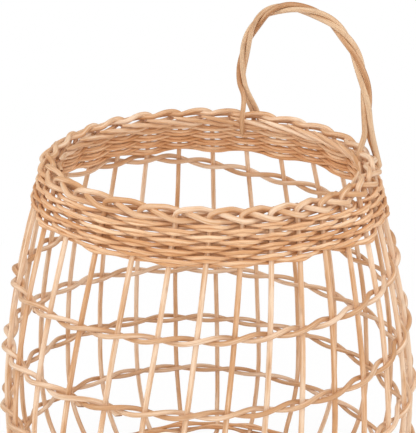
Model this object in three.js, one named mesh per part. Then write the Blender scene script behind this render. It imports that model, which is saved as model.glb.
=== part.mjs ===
// Pot-bellied openwork basket of peeled willow, with a roped loop to hang it on a wall.
// Every rod is its own piece: base sticks and base weavers, upright stakes whose tops are rolled down
// into the border, a spiral of paired weavers round the open body, a randed collar and the loop.
import * as THREE from 'three';

// Driving dimensions, in millimetres, turns or degrees as named. Z is up and +Y is the wall side.
const clearance = 0.3;

const baseStickCount = 8;
const baseStickRadius = 2.3;
const baseRadius = 97;
const baseOpeningRadius = 31;
const baseWeaverRadius = 1.7;
const baseRowPitch = 6.8;
const baseRows = 9;

const stakeButtRadius = 1.72;
const stakeRimRadius = 1.52;
const stakeTipRadius = 1.25;
const stakeFootLength = 20;
const stakePhaseDegrees = 12.5;
const stakeLeanDegrees = 5.1;
const stakeLeanSwingDegrees = 8.8;
const leaningSideDegrees = 29.5;
const stakeCrowdingDegrees = 6.4;
const crowdedSideDegrees = -11.2;
const stakeBunchingDegrees = 4.2;
const bunchedSidesDegrees = -41;
const wallSteps = 7;

const footHeight = 20;
const footRadius = 107;
const footFlare = 1.1;
const bellyHeight = 114;
const bellyRadius = 138.5;
const collarTop = 279.5;
const neckRadius = 107.3;
const neckFlare = -0.28;
const rimTiltDegrees = 1.5;
const rimTiltSideDegrees = 65;

const weaverRadius = 1.42;
const rowGap = 0.2;
const collarRows = 8;
const collarRods = 4;
const upsettRows = 2;
const upsettRods = 2;
const baseRods = 3;

const pairRadius = 1.5;
const spiralLeadDrop = 9;
const spiralLeadStakes = 4;
const spiralEndGap = 25.1;
const spiralEasing = 0.039;
const spiralRods = 5;
const spiralRodStakes = 26;
const spiralFirstRodStakes = 22;
const spiralStartDegrees = 161.5;

const loopFootWidth = 118;
const loopArchWidth = 122;
const loopOuterInset = 7;
const loopHeight = 84;
const loopFootDepth = 15;
const loopRodRadius = 1.45;
const loopThirdTurns = 8;
const loopPartingHeight = 12;
const loopSteps = 20;
const loopRoundness = 2.35;
const wallSideDegrees = 90;

const willow = new THREE.MeshStandardMaterial({ color: 0xdda978, roughness: 0.6, metalness: 0 });
const paleWillow = new THREE.MeshStandardMaterial({ color: 0xe6b98c, roughness: 0.6, metalness: 0 });
const darkWillow = new THREE.MeshStandardMaterial({ color: 0xcf9866, roughness: 0.65, metalness: 0 });

// Counts that follow from the base: one arm is cut off so that a single weaver alternates, two stakes
// stand beside each arm, and one stake is left out so that the collar's weaver alternates as well.
const armCount = 2 * baseStickCount - 1;
const stakeCount = 2 * armCount - 1;
const armStep = (2 * Math.PI) / armCount;
const stakeStep = (2 * Math.PI) / stakeCount;

// A rod's section is a polygon with the area of the round rod: corner reach and flat half-width
const weaverSides = 4;
const stakeSides = 5;
const cornerReach = (sides) => Math.sqrt((2 * Math.PI) / (sides * Math.sin((2 * Math.PI) / sides)));
const flatReach = (sides) => cornerReach(sides) * Math.cos(Math.PI / sides);
const weaverHalf = weaverRadius * flatReach(weaverSides);
const pairHalf = pairRadius * flatReach(weaverSides);
const baseWeaverHalf = baseWeaverRadius * flatReach(weaverSides);
const baseStickHalf = baseStickRadius * flatReach(weaverSides);

const radians = THREE.MathUtils.degToRad;
const lerp = THREE.MathUtils.lerp;

// A closed rod through the given points. The section's first corner turns with the hint direction where
// one is given, and otherwise it is carried along the rod without rolling.
function rodGeometry(points, radiusAt, sides, hintAt = null) {
  const positions = [];
  const indices = [];
  const last = points.length - 1;
  let across = new THREE.Vector3(0, 0, 1);
  points.forEach((point, i) => {
    const tangent = points[Math.min(i + 1, last)].clone().sub(points[Math.max(i - 1, 0)]).normalize();
    if (hintAt) across = hintAt(point);
    else if (i === 0 && Math.abs(tangent.z) > Math.SQRT1_2) across.set(1, 0, 0);
    across = across.clone().addScaledVector(tangent, -across.dot(tangent)).normalize();
    const over = tangent.clone().cross(across);
    const radius = radiusAt(i / last) * cornerReach(sides);
    for (let k = 0; k < sides; k += 1) {
      const turn = (2 * Math.PI * (k + 0.5)) / sides;
      const corner = point.clone();
      corner.addScaledVector(across, radius * Math.cos(turn));
      corner.addScaledVector(over, radius * Math.sin(turn));
      positions.push(corner.x, corner.y, corner.z);
    }
  });
  for (let i = 0; i < last; i += 1) {
    for (let k = 0; k < sides; k += 1) {
      const a = i * sides + k;
      const b = i * sides + ((k + 1) % sides);
      indices.push(a, b, a + sides, b, b + sides, a + sides);
    }
  }
  for (let k = 1; k < sides - 1; k += 1) {
    indices.push(0, k + 1, k);
    indices.push(last * sides, last * sides + k, last * sides + k + 1);
  }
  const geometry = new THREE.BufferGeometry();
  geometry.setAttribute('position', new THREE.Float32BufferAttribute(positions, 3));
  geometry.setIndex(indices);
  return geometry;
}

const outward = (point) => new THREE.Vector3(point.x, point.y, 0).normalize();

function polar(angle, radius, height) {
  return new THREE.Vector3(radius * Math.cos(angle), radius * Math.sin(angle), height);
}

// Shortens a run of points at both ends, so that two rods that follow each other don't touch
function trimEnds(points, radius) {
  const last = points.length - 1;
  const trim = (end, next) => end.addScaledVector(next.clone().sub(end).normalize(), radius);
  trim(points[0], points[1]);
  trim(points[last], points[last - 1]);
  return points;
}

function splitEvenly(total, parts) {
  const marks = [];
  for (let i = 0; i <= parts; i += 1) marks.push(2 * Math.round((total * i) / parts / 2));
  return marks.slice(1).map((end, i) => [marks[i], end]);
}

// Wall profile: one cubic from the foot to the belly and one from the belly to the neck, followed by
// the stakes in straight steps
function cubic(start, end, startSlope, endSlope, t) {
  const swing = startSlope * t * (1 - t) ** 2 - endSlope * t * t * (1 - t);
  return start * (1 + 2 * t) * (1 - t) ** 2 + end * (3 - 2 * t) * t * t + swing;
}

function profileRadius(height) {
  if (height < bellyHeight) {
    const rise = bellyHeight - footHeight;
    return cubic(footRadius, bellyRadius, footFlare * rise, 0, (height - footHeight) / rise);
  }
  const rise = collarTop - bellyHeight;
  return cubic(bellyRadius, neckRadius, 0, neckFlare * rise, (height - bellyHeight) / rise);
}

const wallStep = (collarTop - footHeight) / wallSteps;
const wallKnot = (k) => footHeight + wallStep * k;

function wallRadius(height) {
  const k = THREE.MathUtils.clamp(Math.floor((height - footHeight) / wallStep), 0, wallSteps - 1);
  const share = (height - wallKnot(k)) / wallStep;
  return lerp(profileRadius(wallKnot(k)), profileRadius(wallKnot(k + 1)), share);
}

function wallSlope(height) {
  return (wallRadius(height + wallStep / 2) - wallRadius(height - wallStep / 2)) / wallStep;
}

// A point on the wall, moved outward along its normal and upward along its slope
function wallPoint(angle, height, out, up) {
  const slope = wallSlope(height);
  const unit = 1 / Math.hypot(1, slope);
  const radius = wallRadius(height) + (out + up * slope) * unit;
  return polar(angle, radius, height + (up - out * slope) * unit);
}

function wallNormal(point) {
  return outward(point).setZ(-wallSlope(point.z)).normalize();
}

// Stakes lean round the basket as they rise, more on one side than on the other, and the weaving draws
// their tops together: once round the rim in the crowding, twice in the bunching
function leanAngle(even) {
  const swing = stakeLeanSwingDegrees * Math.cos(even - radians(leaningSideDegrees));
  return radians(stakeLeanDegrees + swing);
}

function stakeAngle(index, height) {
  const share = THREE.MathUtils.clamp((height - footHeight) / (collarTop - footHeight), 0, 1);
  const even = radians(stakePhaseDegrees) + stakeStep * index;
  const crowding = radians(stakeCrowdingDegrees) * Math.sin(even - radians(crowdedSideDegrees));
  const bunching = radians(stakeBunchingDegrees) * Math.sin(2 * even - radians(bunchedSidesDegrees));
  return even - share * (crowding + bunching) - (1 - share) * leanAngle(even);
}

function stakeRadius(height) {
  const share = THREE.MathUtils.clamp((height - footHeight) / (collarTop - footHeight), 0, 1);
  return lerp(stakeButtRadius, stakeRimRadius, share);
}

function halfSpacing(index, height) {
  const here = stakeAngle(index, height);
  const after = stakeAngle(index + 1, height) - here;
  const before = here - stakeAngle(index - 1, height);
  return (Math.min(after, before) / 2) * wallRadius(height);
}

// How far a weaver's axis stands off a rod it passes, when it crosses over within the given run
function passOffset(contact, run) {
  return (contact * run) / Math.sqrt(run * run - contact * contact);
}

function weaverPass(index, height, half) {
  const contact = stakeRadius(height) * cornerReach(stakeSides) + half + clearance;
  return passOffset(contact, halfSpacing(index, height));
}

const basket = new THREE.Group();

// The finished basket sits a little low on one side: heights there shrink, more and more towards the rim
function tiltRim(geometry) {
  const tilt = Math.tan(radians(rimTiltDegrees)) / collarTop;
  const lowSide = polar(radians(rimTiltSideDegrees), 1, 0);
  const positions = geometry.attributes.position;
  for (let i = 0; i < positions.count; i += 1) {
    const reach = positions.getX(i) * lowSide.x + positions.getY(i) * lowSide.y;
    positions.setZ(i, positions.getZ(i) * (1 - tilt * reach));
  }
}

function addPiece(name, geometry, material) {
  tiltRim(geometry);
  geometry.computeVertexNormals();
  const mesh = new THREE.Mesh(geometry, material);
  mesh.name = name;
  basket.add(mesh);
}

// Woven base: two crossed layers of sticks whose arms fan out, and weavers that spiral outward
const upperSticks = Math.ceil(baseStickCount / 2);
const lowerSticks = baseStickCount - upperSticks;
const middleStake = (stakeCount - 1) / 2;
const stakeSide = (index) => (index % 2 ? 1 : -1);
const middleArm = Math.floor(middleStake / 2) + stakeSide(middleStake) / 4;
const armSpacingShare = 1 - radians(stakeLeanSwingDegrees);
const stickSpacing = (2 * baseStickHalf + clearance) / Math.cos(armStep);
const crossHalf = (upperSticks / 2) * stickSpacing;
const stakeSeat = baseStickHalf + stakeButtRadius * cornerReach(stakeSides) + clearance;
const stakeFootStart = baseRadius - stakeFootLength;

function armAngle(arm) {
  const even = radians(stakePhaseDegrees) + stakeStep * middleStake + armStep * (arm - middleArm);
  return even - leanAngle(even);
}

function baseRowAmplitude(radius) {
  const spacing = armSpacingShare * armStep * radius;
  const overStick = passOffset(baseStickHalf * Math.SQRT2 + baseWeaverHalf + clearance, spacing / 2);
  if (radius < stakeFootStart - baseRowPitch) return overStick;
  const contact = stakeButtRadius * cornerReach(stakeSides) + baseWeaverHalf + clearance;
  const run = spacing / 2 - stakeSeat;
  return Math.max(overStick, (passOffset(contact, run) * spacing) / (2 * run));
}

const firstRowRadius = baseOpeningRadius + baseRowPitch / 2;
const tallestRow = Math.max(baseRowAmplitude(firstRowRadius), baseRowAmplitude(stakeFootStart - baseRowPitch));
const standingAmplitude = tallestRow + clearance;
const baseMiddle = standingAmplitude + baseWeaverHalf;
const baseStickLift = baseStickHalf + clearance / 2;

const upright = new THREE.Vector3(0, 0, 1);
const upperTurn = armAngle((upperSticks - 1) / 2);
const lowerTurn = armAngle(upperSticks + (lowerSticks - 1) / 2) - Math.PI / 2;
const crossTurn = (upperTurn + lowerTurn) / 2;

function addBaseStick(number, offset, upper, startArm, endArm) {
  const height = baseMiddle + (upper ? baseStickLift : -baseStickLift);
  const crossing = (along) => {
    const point = new THREE.Vector3(upper ? along : offset, upper ? offset : along, height);
    return point.applyAxisAngle(upright, crossTurn);
  };
  const points = [crossing(-crossHalf), crossing(crossHalf)];
  points.push(polar(armAngle(startArm), baseOpeningRadius, baseMiddle));
  points.push(polar(armAngle(startArm), baseRadius, baseMiddle));
  if (endArm !== null) {
    points.unshift(polar(armAngle(endArm), baseOpeningRadius, baseMiddle));
    points.unshift(polar(armAngle(endArm), baseRadius, baseMiddle));
  }
  const geometry = rodGeometry(points, () => baseStickRadius, weaverSides, () => upright);
  addPiece(`base_stick_${number}`, geometry, darkWillow);
}

function addBaseSticks() {
  for (let i = 0; i < upperSticks; i += 1) {
    const offset = stickSpacing * (i - (upperSticks - 1) / 2);
    const endArm = i === 0 ? null : 2 * upperSticks + lowerSticks - 1 - i;
    addBaseStick(i + 1, offset, true, i, endArm);
  }
  for (let i = 0; i < lowerSticks; i += 1) {
    const offset = stickSpacing * ((lowerSticks - 1) / 2 - i);
    addBaseStick(upperSticks + i + 1, offset, false, upperSticks + i, armCount - 1 - i);
  }
}

function addBaseWeavers() {
  const total = baseRows * armCount;
  const flatStart = total - armCount;
  splitEvenly(total, baseRods).forEach(([start, end], rod) => {
    const points = [];
    for (let i = start; i <= end; i += 1) {
      const radius = firstRowRadius + (baseRowPitch * i) / armCount;
      const side = i % 2 ? 1 : -1;
      const flat = i > flatStart;
      const amplitude = flat ? standingAmplitude : baseRowAmplitude(radius);
      const height = baseMiddle + side * amplitude;
      const halfTurn = flat ? stakeSeat / radius : 0;
      points.push(polar(armAngle(i) - halfTurn, radius, height));
      if (flat) points.push(polar(armAngle(i) + halfTurn, radius, height));
    }
    trimEnds(points, baseWeaverRadius);
    const geometry = rodGeometry(points, () => baseWeaverRadius, weaverSides, () => upright);
    addPiece(`base_weaver_${rod + 1}`, geometry, willow);
  });
}

// Rolled border: each stake bends over to the next, passes behind it, in front of the one after, comes
// back inside and lies along the inside of the rim. Steps are counted in stakes along the rim, in
// passes outward and in rod layers upward.
const borderRadius = (stakeRimRadius + stakeTipRadius) / 2;
const borderHalf = borderRadius * cornerReach(stakeSides);
const borderLayer = 2 * borderHalf + clearance;
const borderContact = stakeRimRadius * cornerReach(stakeSides) + borderHalf + clearance;
const closestShare = 1 - radians(stakeCrowdingDegrees) - 2 * radians(stakeBunchingDegrees);
const borderRun = (closestShare * stakeStep * neckRadius) / 2;
const borderPass = passOffset(borderContact, borderRun);
const borderSteps = [
  { along: 0, out: 0, layer: 1 },
  { along: 0.1, out: 0, layer: 1.7 },
  { along: 0.4, out: -0.3, layer: 1.97 },
  { along: 0.75, out: -0.85, layer: 1.6 },
  { along: 1, out: -1, layer: 0.95 },
  { along: 1.5, out: 0.35, layer: 0.85 },
  { along: 2, out: 1, layer: 0.25 },
  { along: 2.5, out: -0.3, layer: -0.1 },
  { along: 3, out: -1, layer: -0.2 },
  { along: 4, out: -1.95, layer: 0.3 },
  { along: 5.4, out: -1.95, layer: 1.75 },
];
const borderBottom = collarTop + borderHalf + clearance;
const borderHeight = (layer) => borderBottom + borderLayer * layer;
const topLayer = Math.max(...borderSteps.map((step) => step.layer));
const rimTop = borderHeight(topLayer) + borderHalf;

function borderPoint(index, { along, out, layer }) {
  const height = borderHeight(layer);
  return polar(stakeAngle(index + along, height), wallRadius(height) + out * borderPass, height);
}

function addStake(index) {
  const arm = Math.floor(index / 2);
  const slotAngle = armAngle(arm);
  const beside = polar(slotAngle + (stakeSide(index) * Math.PI) / 2, stakeSeat, baseMiddle);
  const inBase = (radius) => polar(slotAngle, radius, 0).add(beside);
  const points = [inBase(stakeFootStart), inBase(baseRadius + 2 * stakeButtRadius)];
  const start = wallPoint(stakeAngle(index, footHeight), footHeight, 0, 0);
  points.push(points[1].clone().lerp(start, 0.5));
  for (let k = 0; k <= wallSteps; k += 1) {
    const height = wallKnot(k);
    points.push(wallPoint(stakeAngle(index, height), height, 0, 0));
  }
  const wallEnd = points.length;
  borderSteps.forEach((step) => points.push(borderPoint(index, step)));
  const last = points.length - 1;
  const radiusAt = (share) => {
    const i = share * last;
    if (i < wallEnd) return lerp(stakeButtRadius, stakeRimRadius, i / wallEnd);
    return lerp(stakeRimRadius, stakeTipRadius, (i - wallEnd) / (last - wallEnd));
  };
  const geometry = rodGeometry(points, radiusAt, stakeSides);
  addPiece(`stake_${String(index + 1).padStart(2, '0')}`, geometry, willow);
}

// Randing: one weaver passes in front of one stake and behind the next, row upon row
function addRanding(name, rods, rows, firstHeight, rowRise, material) {
  const total = 2 * Math.floor((rows * stakeCount) / 2);
  splitEvenly(total, rods).forEach(([start, end], rod) => {
    const points = [];
    for (let i = start; i <= end; i += 1) {
      const height = firstHeight + (rowRise * i) / stakeCount;
      const side = i % 2 ? 1 : -1;
      points.push(wallPoint(stakeAngle(i, height), height, side * weaverPass(i, height, weaverHalf), 0));
    }
    trimEnds(points, weaverRadius);
    const geometry = rodGeometry(points, () => weaverRadius, weaverSides, wallNormal);
    addPiece(`${name}_${rod + 1}`, geometry, material);
  });
}

const rowPitch = 2 * weaverHalf + clearance + rowGap;
const riseAt = (height) => rowPitch / Math.hypot(1, wallSlope(height));
const collarRise = riseAt(collarTop);
const collarStart = collarTop - weaverHalf - collarRows * collarRise;
const upsettRise = riseAt(footHeight);
const upsettStart = footHeight + upsettRise;

// Pairing: two weavers change places between every two stakes and wind down the open body
const twistHalf = pairRadius * cornerReach(weaverSides) + clearance;
const spiralTop = collarStart - weaverHalf - 2 * twistHalf - clearance;
const spiralBottom = upsettStart + upsettRows * upsettRise + spiralEndGap;
const spiralDrop = spiralTop - spiralLeadDrop - spiralBottom;
const spiralRodEnd = (rod) => spiralFirstRodStakes + rod * spiralRodStakes;
const spiralEnd = spiralRodEnd(spiralRods - 1);
const spiralStart = Math.round((radians(spiralStartDegrees) - radians(stakePhaseDegrees)) / stakeStep);

function spiralHeight(step) {
  const lead = THREE.MathUtils.smoothstep(step, 0, spiralLeadStakes);
  const share = step / spiralEnd;
  return spiralTop - spiralLeadDrop * lead - spiralDrop * share * (1 + spiralEasing * (1 - share));
}

function addPairing(letter, first) {
  for (let rod = 0; rod < spiralRods; rod += 1) {
    const points = [];
    const start = rod === 0 ? 0 : spiralRodEnd(rod - 1);
    for (let half = 2 * start; half <= 2 * spiralRodEnd(rod); half += 1) {
      const step = first + half / 2;
      const height = spiralHeight(step);
      const index = spiralStart - step;
      const theta = Math.PI * (step - first);
      const out = -Math.cos(theta) * weaverPass(index, height, pairHalf);
      const up = Math.sin(theta) * twistHalf;
      points.push(wallPoint(stakeAngle(index, height), height, out, up));
    }
    trimEnds(points, pairRadius);
    const geometry = rodGeometry(points, () => pairRadius, weaverSides, wallNormal);
    addPiece(`pairing_${letter}_${rod + 1}`, geometry, paleWillow);
  }
}

// Hanging loop: three rods roped round each other. At each foot they part: one runs down inside the rim,
// the other two run down outside it and nearer to the loop's middle, so the loop grips the rim.
const loopRodHalf = loopRodRadius * cornerReach(stakeSides);
const ropeRadius = (loopRodHalf + clearance / 2) / Math.sin(Math.PI / 3);
const loopStepTurn = (2 * Math.PI * loopThirdTurns) / (3 * loopSteps);
const loopRimRadius = wallRadius(rimTop);
const loopHalfAngle = Math.asin(loopFootWidth / 2 / loopRimRadius);

function loopFoot(end, turn, height) {
  const [tailStart, tailEnd] = borderSteps.slice(-2);
  const tailSag = neckRadius * (1 - Math.cos(((tailEnd.along - tailStart.along) * stakeStep) / 2));
  const insideOut = tailEnd.out * borderPass - tailSag / 2;
  const grip = borderHalf + clearance + loopRodHalf;
  const angle = radians(wallSideDegrees) + end * loopHalfAngle;
  if (Math.cos(turn) < 0) {
    return polar(angle, wallRadius(height) + insideOut - grip, height);
  }
  const inset = loopOuterInset + Math.sign(Math.sin(turn)) * (loopRodHalf + clearance / 2);
  return polar(angle - (end * inset) / loopRimRadius, wallRadius(height) + borderPass + grip, height);
}

function archPoint(step) {
  const c = Math.cos((Math.PI * step) / loopSteps);
  const s = Math.sin((Math.PI * step) / loopSteps);
  const x = (loopArchWidth / 2) * Math.sign(c) * Math.abs(c) ** (2 / loopRoundness);
  const rise = (loopHeight - loopPartingHeight) * Math.abs(s) ** (2 / loopRoundness);
  return new THREE.Vector3(x, loopRimRadius * Math.cos(loopHalfAngle), rimTop + loopPartingHeight + rise);
}

function addLoopRod(name, phase) {
  const back = new THREE.Vector3(0, 1, 0);
  const lastTurn = phase - loopStepTurn * loopSteps;
  const points = [loopFoot(-1, phase, rimTop - loopFootDepth), loopFoot(-1, phase, rimTop)];
  for (let i = 0; i <= loopSteps; i += 1) {
    const point = archPoint(i);
    const along = archPoint(Math.min(i + 1, loopSteps)).sub(archPoint(Math.max(i - 1, 0))).normalize();
    const normal = along.clone().cross(back);
    const turn = phase - loopStepTurn * i;
    point.addScaledVector(back, ropeRadius * Math.cos(turn));
    point.addScaledVector(normal, ropeRadius * Math.sin(turn));
    points.push(point);
  }
  points.push(loopFoot(1, lastTurn, rimTop), loopFoot(1, lastTurn, rimTop - loopFootDepth));
  addPiece(name, rodGeometry(points, () => loopRodRadius, stakeSides), paleWillow);
}

addBaseSticks();
addBaseWeavers();
for (let index = 0; index < stakeCount; index += 1) addStake(index);
addRanding('upsett_weaver', upsettRods, upsettRows, upsettStart, upsettRise, willow);
addPairing('a', 0);
addPairing('b', 1);
addRanding('collar_weaver', collarRods, collarRows, collarStart, collarRise, willow);
addLoopRod('loop_rod_right', Math.PI / 3);
addLoopRod('loop_rod_left', Math.PI);
addLoopRod('loop_rod_middle', -Math.PI / 3);

export default basket;
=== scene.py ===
"""A pot-bellied openwork willow basket with a roped loop on its rim, in a pale studio.

Each packed rod is drawn again as a round willow rod: a straight rod with buds and slanted cuts that is
bent along the line of its solid. Lengths are in millimetres until a mesh is made.
"""

import functools
import logging
import math
from dataclasses import dataclass, field
from enum import Enum
from random import Random
from typing import Callable, ClassVar, Sequence

import bmesh
import bpy
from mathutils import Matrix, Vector, noise
from mathutils.geometry import interpolate_bezier


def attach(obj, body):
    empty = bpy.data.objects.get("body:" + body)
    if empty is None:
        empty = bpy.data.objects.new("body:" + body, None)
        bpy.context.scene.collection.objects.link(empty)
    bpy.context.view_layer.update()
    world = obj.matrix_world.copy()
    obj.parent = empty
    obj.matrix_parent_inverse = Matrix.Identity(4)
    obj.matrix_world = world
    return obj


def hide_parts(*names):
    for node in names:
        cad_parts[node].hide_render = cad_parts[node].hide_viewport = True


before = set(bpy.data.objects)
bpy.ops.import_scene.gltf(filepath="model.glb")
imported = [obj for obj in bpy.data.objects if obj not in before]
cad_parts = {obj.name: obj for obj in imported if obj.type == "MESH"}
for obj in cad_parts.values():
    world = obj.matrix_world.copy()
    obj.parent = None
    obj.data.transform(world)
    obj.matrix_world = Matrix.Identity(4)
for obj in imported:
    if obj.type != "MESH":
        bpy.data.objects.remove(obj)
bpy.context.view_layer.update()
MM = 0.001
FULL_TURN = 2 * math.pi
UP = Vector((0, 0, 1))
WHITE = (1.0, 1.0, 1.0, 1.0)
NOISE_SEED = 7

Pair = tuple[float, float]
Triple = tuple[float, float, float]

log = logging.getLogger("willow_basket")


def lerp(start: float, end: float, share: float) -> float:
    """Returns the value at a share of the way from start to end."""
    return start + (end - start) * share


def clamp(value: float) -> float:
    """Returns a value held between 0 and 1."""
    return min(max(value, 0.0), 1.0)


def smoothstep(value: float) -> float:
    """Returns a share that starts and ends softly."""
    held = clamp(value)
    return held * held * (3 - 2 * held)


def taper(radius: float, start: float = 1.0, end: float = 1.0) -> Callable[[float], float]:
    """Returns a thickness that runs evenly between two shares of a radius."""
    return lambda share: radius * lerp(start, end, share)


def polar(angle: float, radius: float, height: float) -> Vector:
    """Returns the point at an angle round the basket's axis."""
    return Vector((radius * math.cos(angle), radius * math.sin(angle), height))


def split_evenly(total: int, parts: int) -> list[tuple[int, int]]:
    """Cuts a run of stakes into rods that start and end on an even stake.

    Args:
        total: Stakes in the run.
        parts: Rods to cut it into.

    Returns:
        First and last stake of each rod.
    """
    marks = [2 * math.floor(total * i / parts / 2 + 0.5) for i in range(parts + 1)]
    return list(zip(marks, marks[1:]))


def smooth_line(points: Sequence[Vector], step: float) -> list[Vector]:
    """Joins points by a smooth curve and cuts it into short steps.

    Args:
        points: Points that the curve passes through.
        step: Longest distance between two points of the result.

    Returns:
        Points along the curve, both ends among them.
    """
    chords = [(after - before).length for before, after in zip(points, points[1:])]
    leads = [(points[1] - points[0]) / chords[0]]
    for i in range(1, len(points) - 1):
        before, after = chords[i - 1], chords[i]
        ahead = (points[i + 1] - points[i]) * (before / after)
        behind = (points[i] - points[i - 1]) * (after / before)
        leads.append((ahead + behind) / (before + after))
    leads.append((points[-1] - points[-2]) / chords[-1])
    line = [points[0].copy()]
    for i, chord in enumerate(chords):
        handle = chord / 3
        cuts = max(2, math.ceil(chord / step) + 1)
        first, second = points[i] + leads[i] * handle, points[i + 1] - leads[i + 1] * handle
        line += interpolate_bezier(points[i], first, second, points[i + 1], cuts)[1:]
    return line


def make_piece(name: str, shape: bmesh.types.BMesh, material: bpy.types.Material) -> bpy.types.Object:
    """Turns a finished shape into an object of the scene.

    Args:
        name: Name of the object and its mesh.
        shape: The shape, which is freed.
        material: Material of the whole mesh.

    Returns:
        The object, at the origin.
    """
    mesh = bpy.data.meshes.new(name)
    shape.to_mesh(mesh)
    shape.free()
    mesh.materials.append(material)
    piece = bpy.data.objects.new(name, mesh)
    bpy.context.scene.collection.objects.link(piece)
    return piece


@dataclass(frozen=True)
class Colour:
    """A colour as it looks on a screen, 0 to 255 each."""

    red: int
    green: int
    blue: int

    def linear(self) -> tuple[float, float, float, float]:
        """Returns the colour as light, with full cover.

        Returns:
            Red, green, blue and cover, from 0 to 1 each.
        """
        shares = [channel / 255 for channel in (self.red, self.green, self.blue)]
        light = [s / 12.92 if s <= 0.04045 else ((s + 0.055) / 1.055) ** 2.4 for s in shares]
        return (light[0], light[1], light[2], 1.0)


class NodeSheet:
    """Places and joins the nodes of one node tree."""

    NOISE_ROUGHNESS: ClassVar[float] = 0.55

    def __init__(self, tree: bpy.types.NodeTree) -> None:
        """Starts on an empty tree."""
        self.tree = tree
        self.tree.nodes.clear()

    def put(self, kind: str, **settings: object) -> bpy.types.Node:
        """Adds a node of a kind with its settings.

        Args:
            kind: Blender's name for the kind of node.
            settings: Values of the node's own properties.

        Returns:
            The new node.
        """
        node = self.tree.nodes.new(kind)
        for key, value in settings.items():
            setattr(node, key, value)
        return node

    def feed(self, socket: bpy.types.NodeSocket, value: object) -> None:
        """Joins another node's output to a socket, or sets a plain value on it.

        Args:
            socket: Input that takes the value.
            value: Output of another node, or a plain value.
        """
        if isinstance(value, bpy.types.NodeSocket):
            self.tree.links.new(value, socket)
        else:
            socket.default_value = value

    def calc(self, operation: str, first: object, second: object = 0.0) -> bpy.types.NodeSocket:
        """Returns the result of one sum on two values.

        Args:
            operation: Blender's name for the sum.
            first: First output or plain value.
            second: Second output or plain value.

        Returns:
            The output that holds the result.
        """
        node = self.put("ShaderNodeMath", operation=operation)
        self.feed(node.inputs[0], first)
        self.feed(node.inputs[1], second)
        return node.outputs[0]

    def weigh(
        self, first: object, first_weight: float, second: object, second_weight: float
    ) -> bpy.types.NodeSocket:
        """Returns the sum of two values, each times its weight."""
        weighed = self.calc("MULTIPLY", first, first_weight)
        return self.calc("ADD", weighed, self.calc("MULTIPLY", second, second_weight))

    def noise(self, vector: bpy.types.NodeSocket, scales: Triple, detail: float) -> bpy.types.NodeSocket:
        """Returns soft noise.

        Args:
            vector: Place at which the noise is read.
            scales: Cells to a unit along each axis.
            detail: Layers of finer noise.

        Returns:
            The noise, which lies around 0.5.
        """
        stretched = self.put("ShaderNodeVectorMath", operation="MULTIPLY")
        self.feed(stretched.inputs[0], vector)
        self.feed(stretched.inputs[1], scales)
        node = self.put("ShaderNodeTexNoise", noise_dimensions="3D")
        self.feed(node.inputs["Vector"], stretched.outputs["Vector"])
        self.feed(node.inputs["Scale"], 1.0)
        self.feed(node.inputs["Detail"], detail)
        self.feed(node.inputs["Roughness"], self.NOISE_ROUGHNESS)
        return node.outputs["Fac"]

    def remap(self, value: object, source: Pair, target: Pair = (0.0, 1.0)) -> bpy.types.NodeSocket:
        """Returns a value moved from one range to another and held inside it.

        Args:
            value: Output or plain value to move.
            source: Range that it comes from.
            target: Range that it goes to.

        Returns:
            The output that holds the moved value.
        """
        node = self.put("ShaderNodeMapRange", clamp=True)
        for socket, number in zip(node.inputs[1:5], source + target):
            self.feed(socket, number)
        self.feed(node.inputs["Value"], value)
        return node.outputs["Result"]

    def blend(self, share: object, first: object, second: object) -> bpy.types.NodeSocket:
        """Returns a colour between two colours.

        Args:
            share: 0 for the first colour, 1 for the second.
            first: First colour.
            second: Second colour.

        Returns:
            The output that holds the colour.
        """
        node = self.put("ShaderNodeMix", data_type="RGBA", clamp_factor=True)
        # A mix node has sockets for every type of value, and its colours are these.
        self.feed(node.inputs[0], share)
        self.feed(node.inputs[6], first)
        self.feed(node.inputs[7], second)
        return node.outputs[2]


def new_group(name: str, inputs: dict[str, str], outputs: dict[str, str]) -> tuple[NodeSheet, dict, dict]:
    """Makes an empty shader node group.

    Args:
        name: Name of the group.
        inputs: Socket type of each input by name.
        outputs: Socket type of each output by name.

    Returns:
        The group's sheet, the sockets that bring its inputs, and the sockets that take its outputs.
    """
    tree = bpy.data.node_groups.new(name, "ShaderNodeTree")
    for way, sockets in (("INPUT", inputs), ("OUTPUT", outputs)):
        for socket, kind in sockets.items():
            tree.interface.new_socket(socket, in_out=way, socket_type=kind)
    sheet = NodeSheet(tree)
    brings = sheet.put("NodeGroupInput").outputs
    takes = sheet.put("NodeGroupOutput").inputs
    return sheet, brings, takes


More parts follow.
